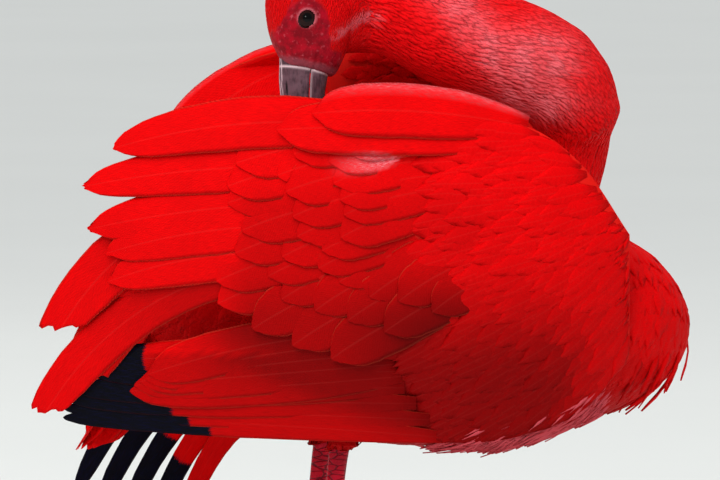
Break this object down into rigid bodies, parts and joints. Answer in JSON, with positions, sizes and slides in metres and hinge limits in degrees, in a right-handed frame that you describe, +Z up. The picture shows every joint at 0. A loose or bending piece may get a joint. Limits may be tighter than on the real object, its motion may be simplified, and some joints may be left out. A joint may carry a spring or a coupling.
{
  "type": "scarlet ibis",
  "caption": "Life-size standing scarlet ibis, head turned back over its shoulder to preen behind a slightly raised wing.",
  "frame": {"origin": "on the floor below the middle of the bird's box", "axes": "+X towards the breast, +Y towards the bird's left side, +Z up from the floor"},
  "size_m": [0.2984, 0.1358, 0.3616],
  "materials": {
    "scarlet_feather": "soft matt feather, faint silky sheen",
    "bare_skin": "bare pebbled skin, slightly moist",
    "bill_horn": "semi-matt grooved horn",
    "eye": "wet gloss",
    "leg_skin": "scaled skin, satin",
    "claw_horn": "smooth horn, satin gloss"
  },
  "bodies": {
    "root": {"torso": "scarlet_feather", "neck_stem": "scarlet_feather", "neck_fold": "scarlet_feather", "neck_nape": "scarlet_feather", "head": "bare_skin", "eye_near": "eye", "eye_far": "eye", "bill_upper": "bill_horn", "bill_lower": "bill_horn", "wing_near": "scarlet_feather", "wing_far": "scarlet_feather", "tail": "scarlet_feather", "thigh_near": "scarlet_feather", "thigh_far": "scarlet_feather", "shin_near": "leg_skin", "shin_far": "leg_skin", "tarsus_near": "leg_skin", "tarsus_far": "leg_skin", "foot_near": "leg_skin", "foot_far": "leg_skin", "claw_near_inner": "claw_horn", "claw_near_middle": "claw_horn", "claw_near_outer": "claw_horn", "claw_near_hind": "claw_horn", "claw_far_inner": "claw_horn", "claw_far_middle": "claw_horn", "claw_far_outer": "claw_horn", "claw_far_hind": "claw_horn"}
  },
  "joints": []
}
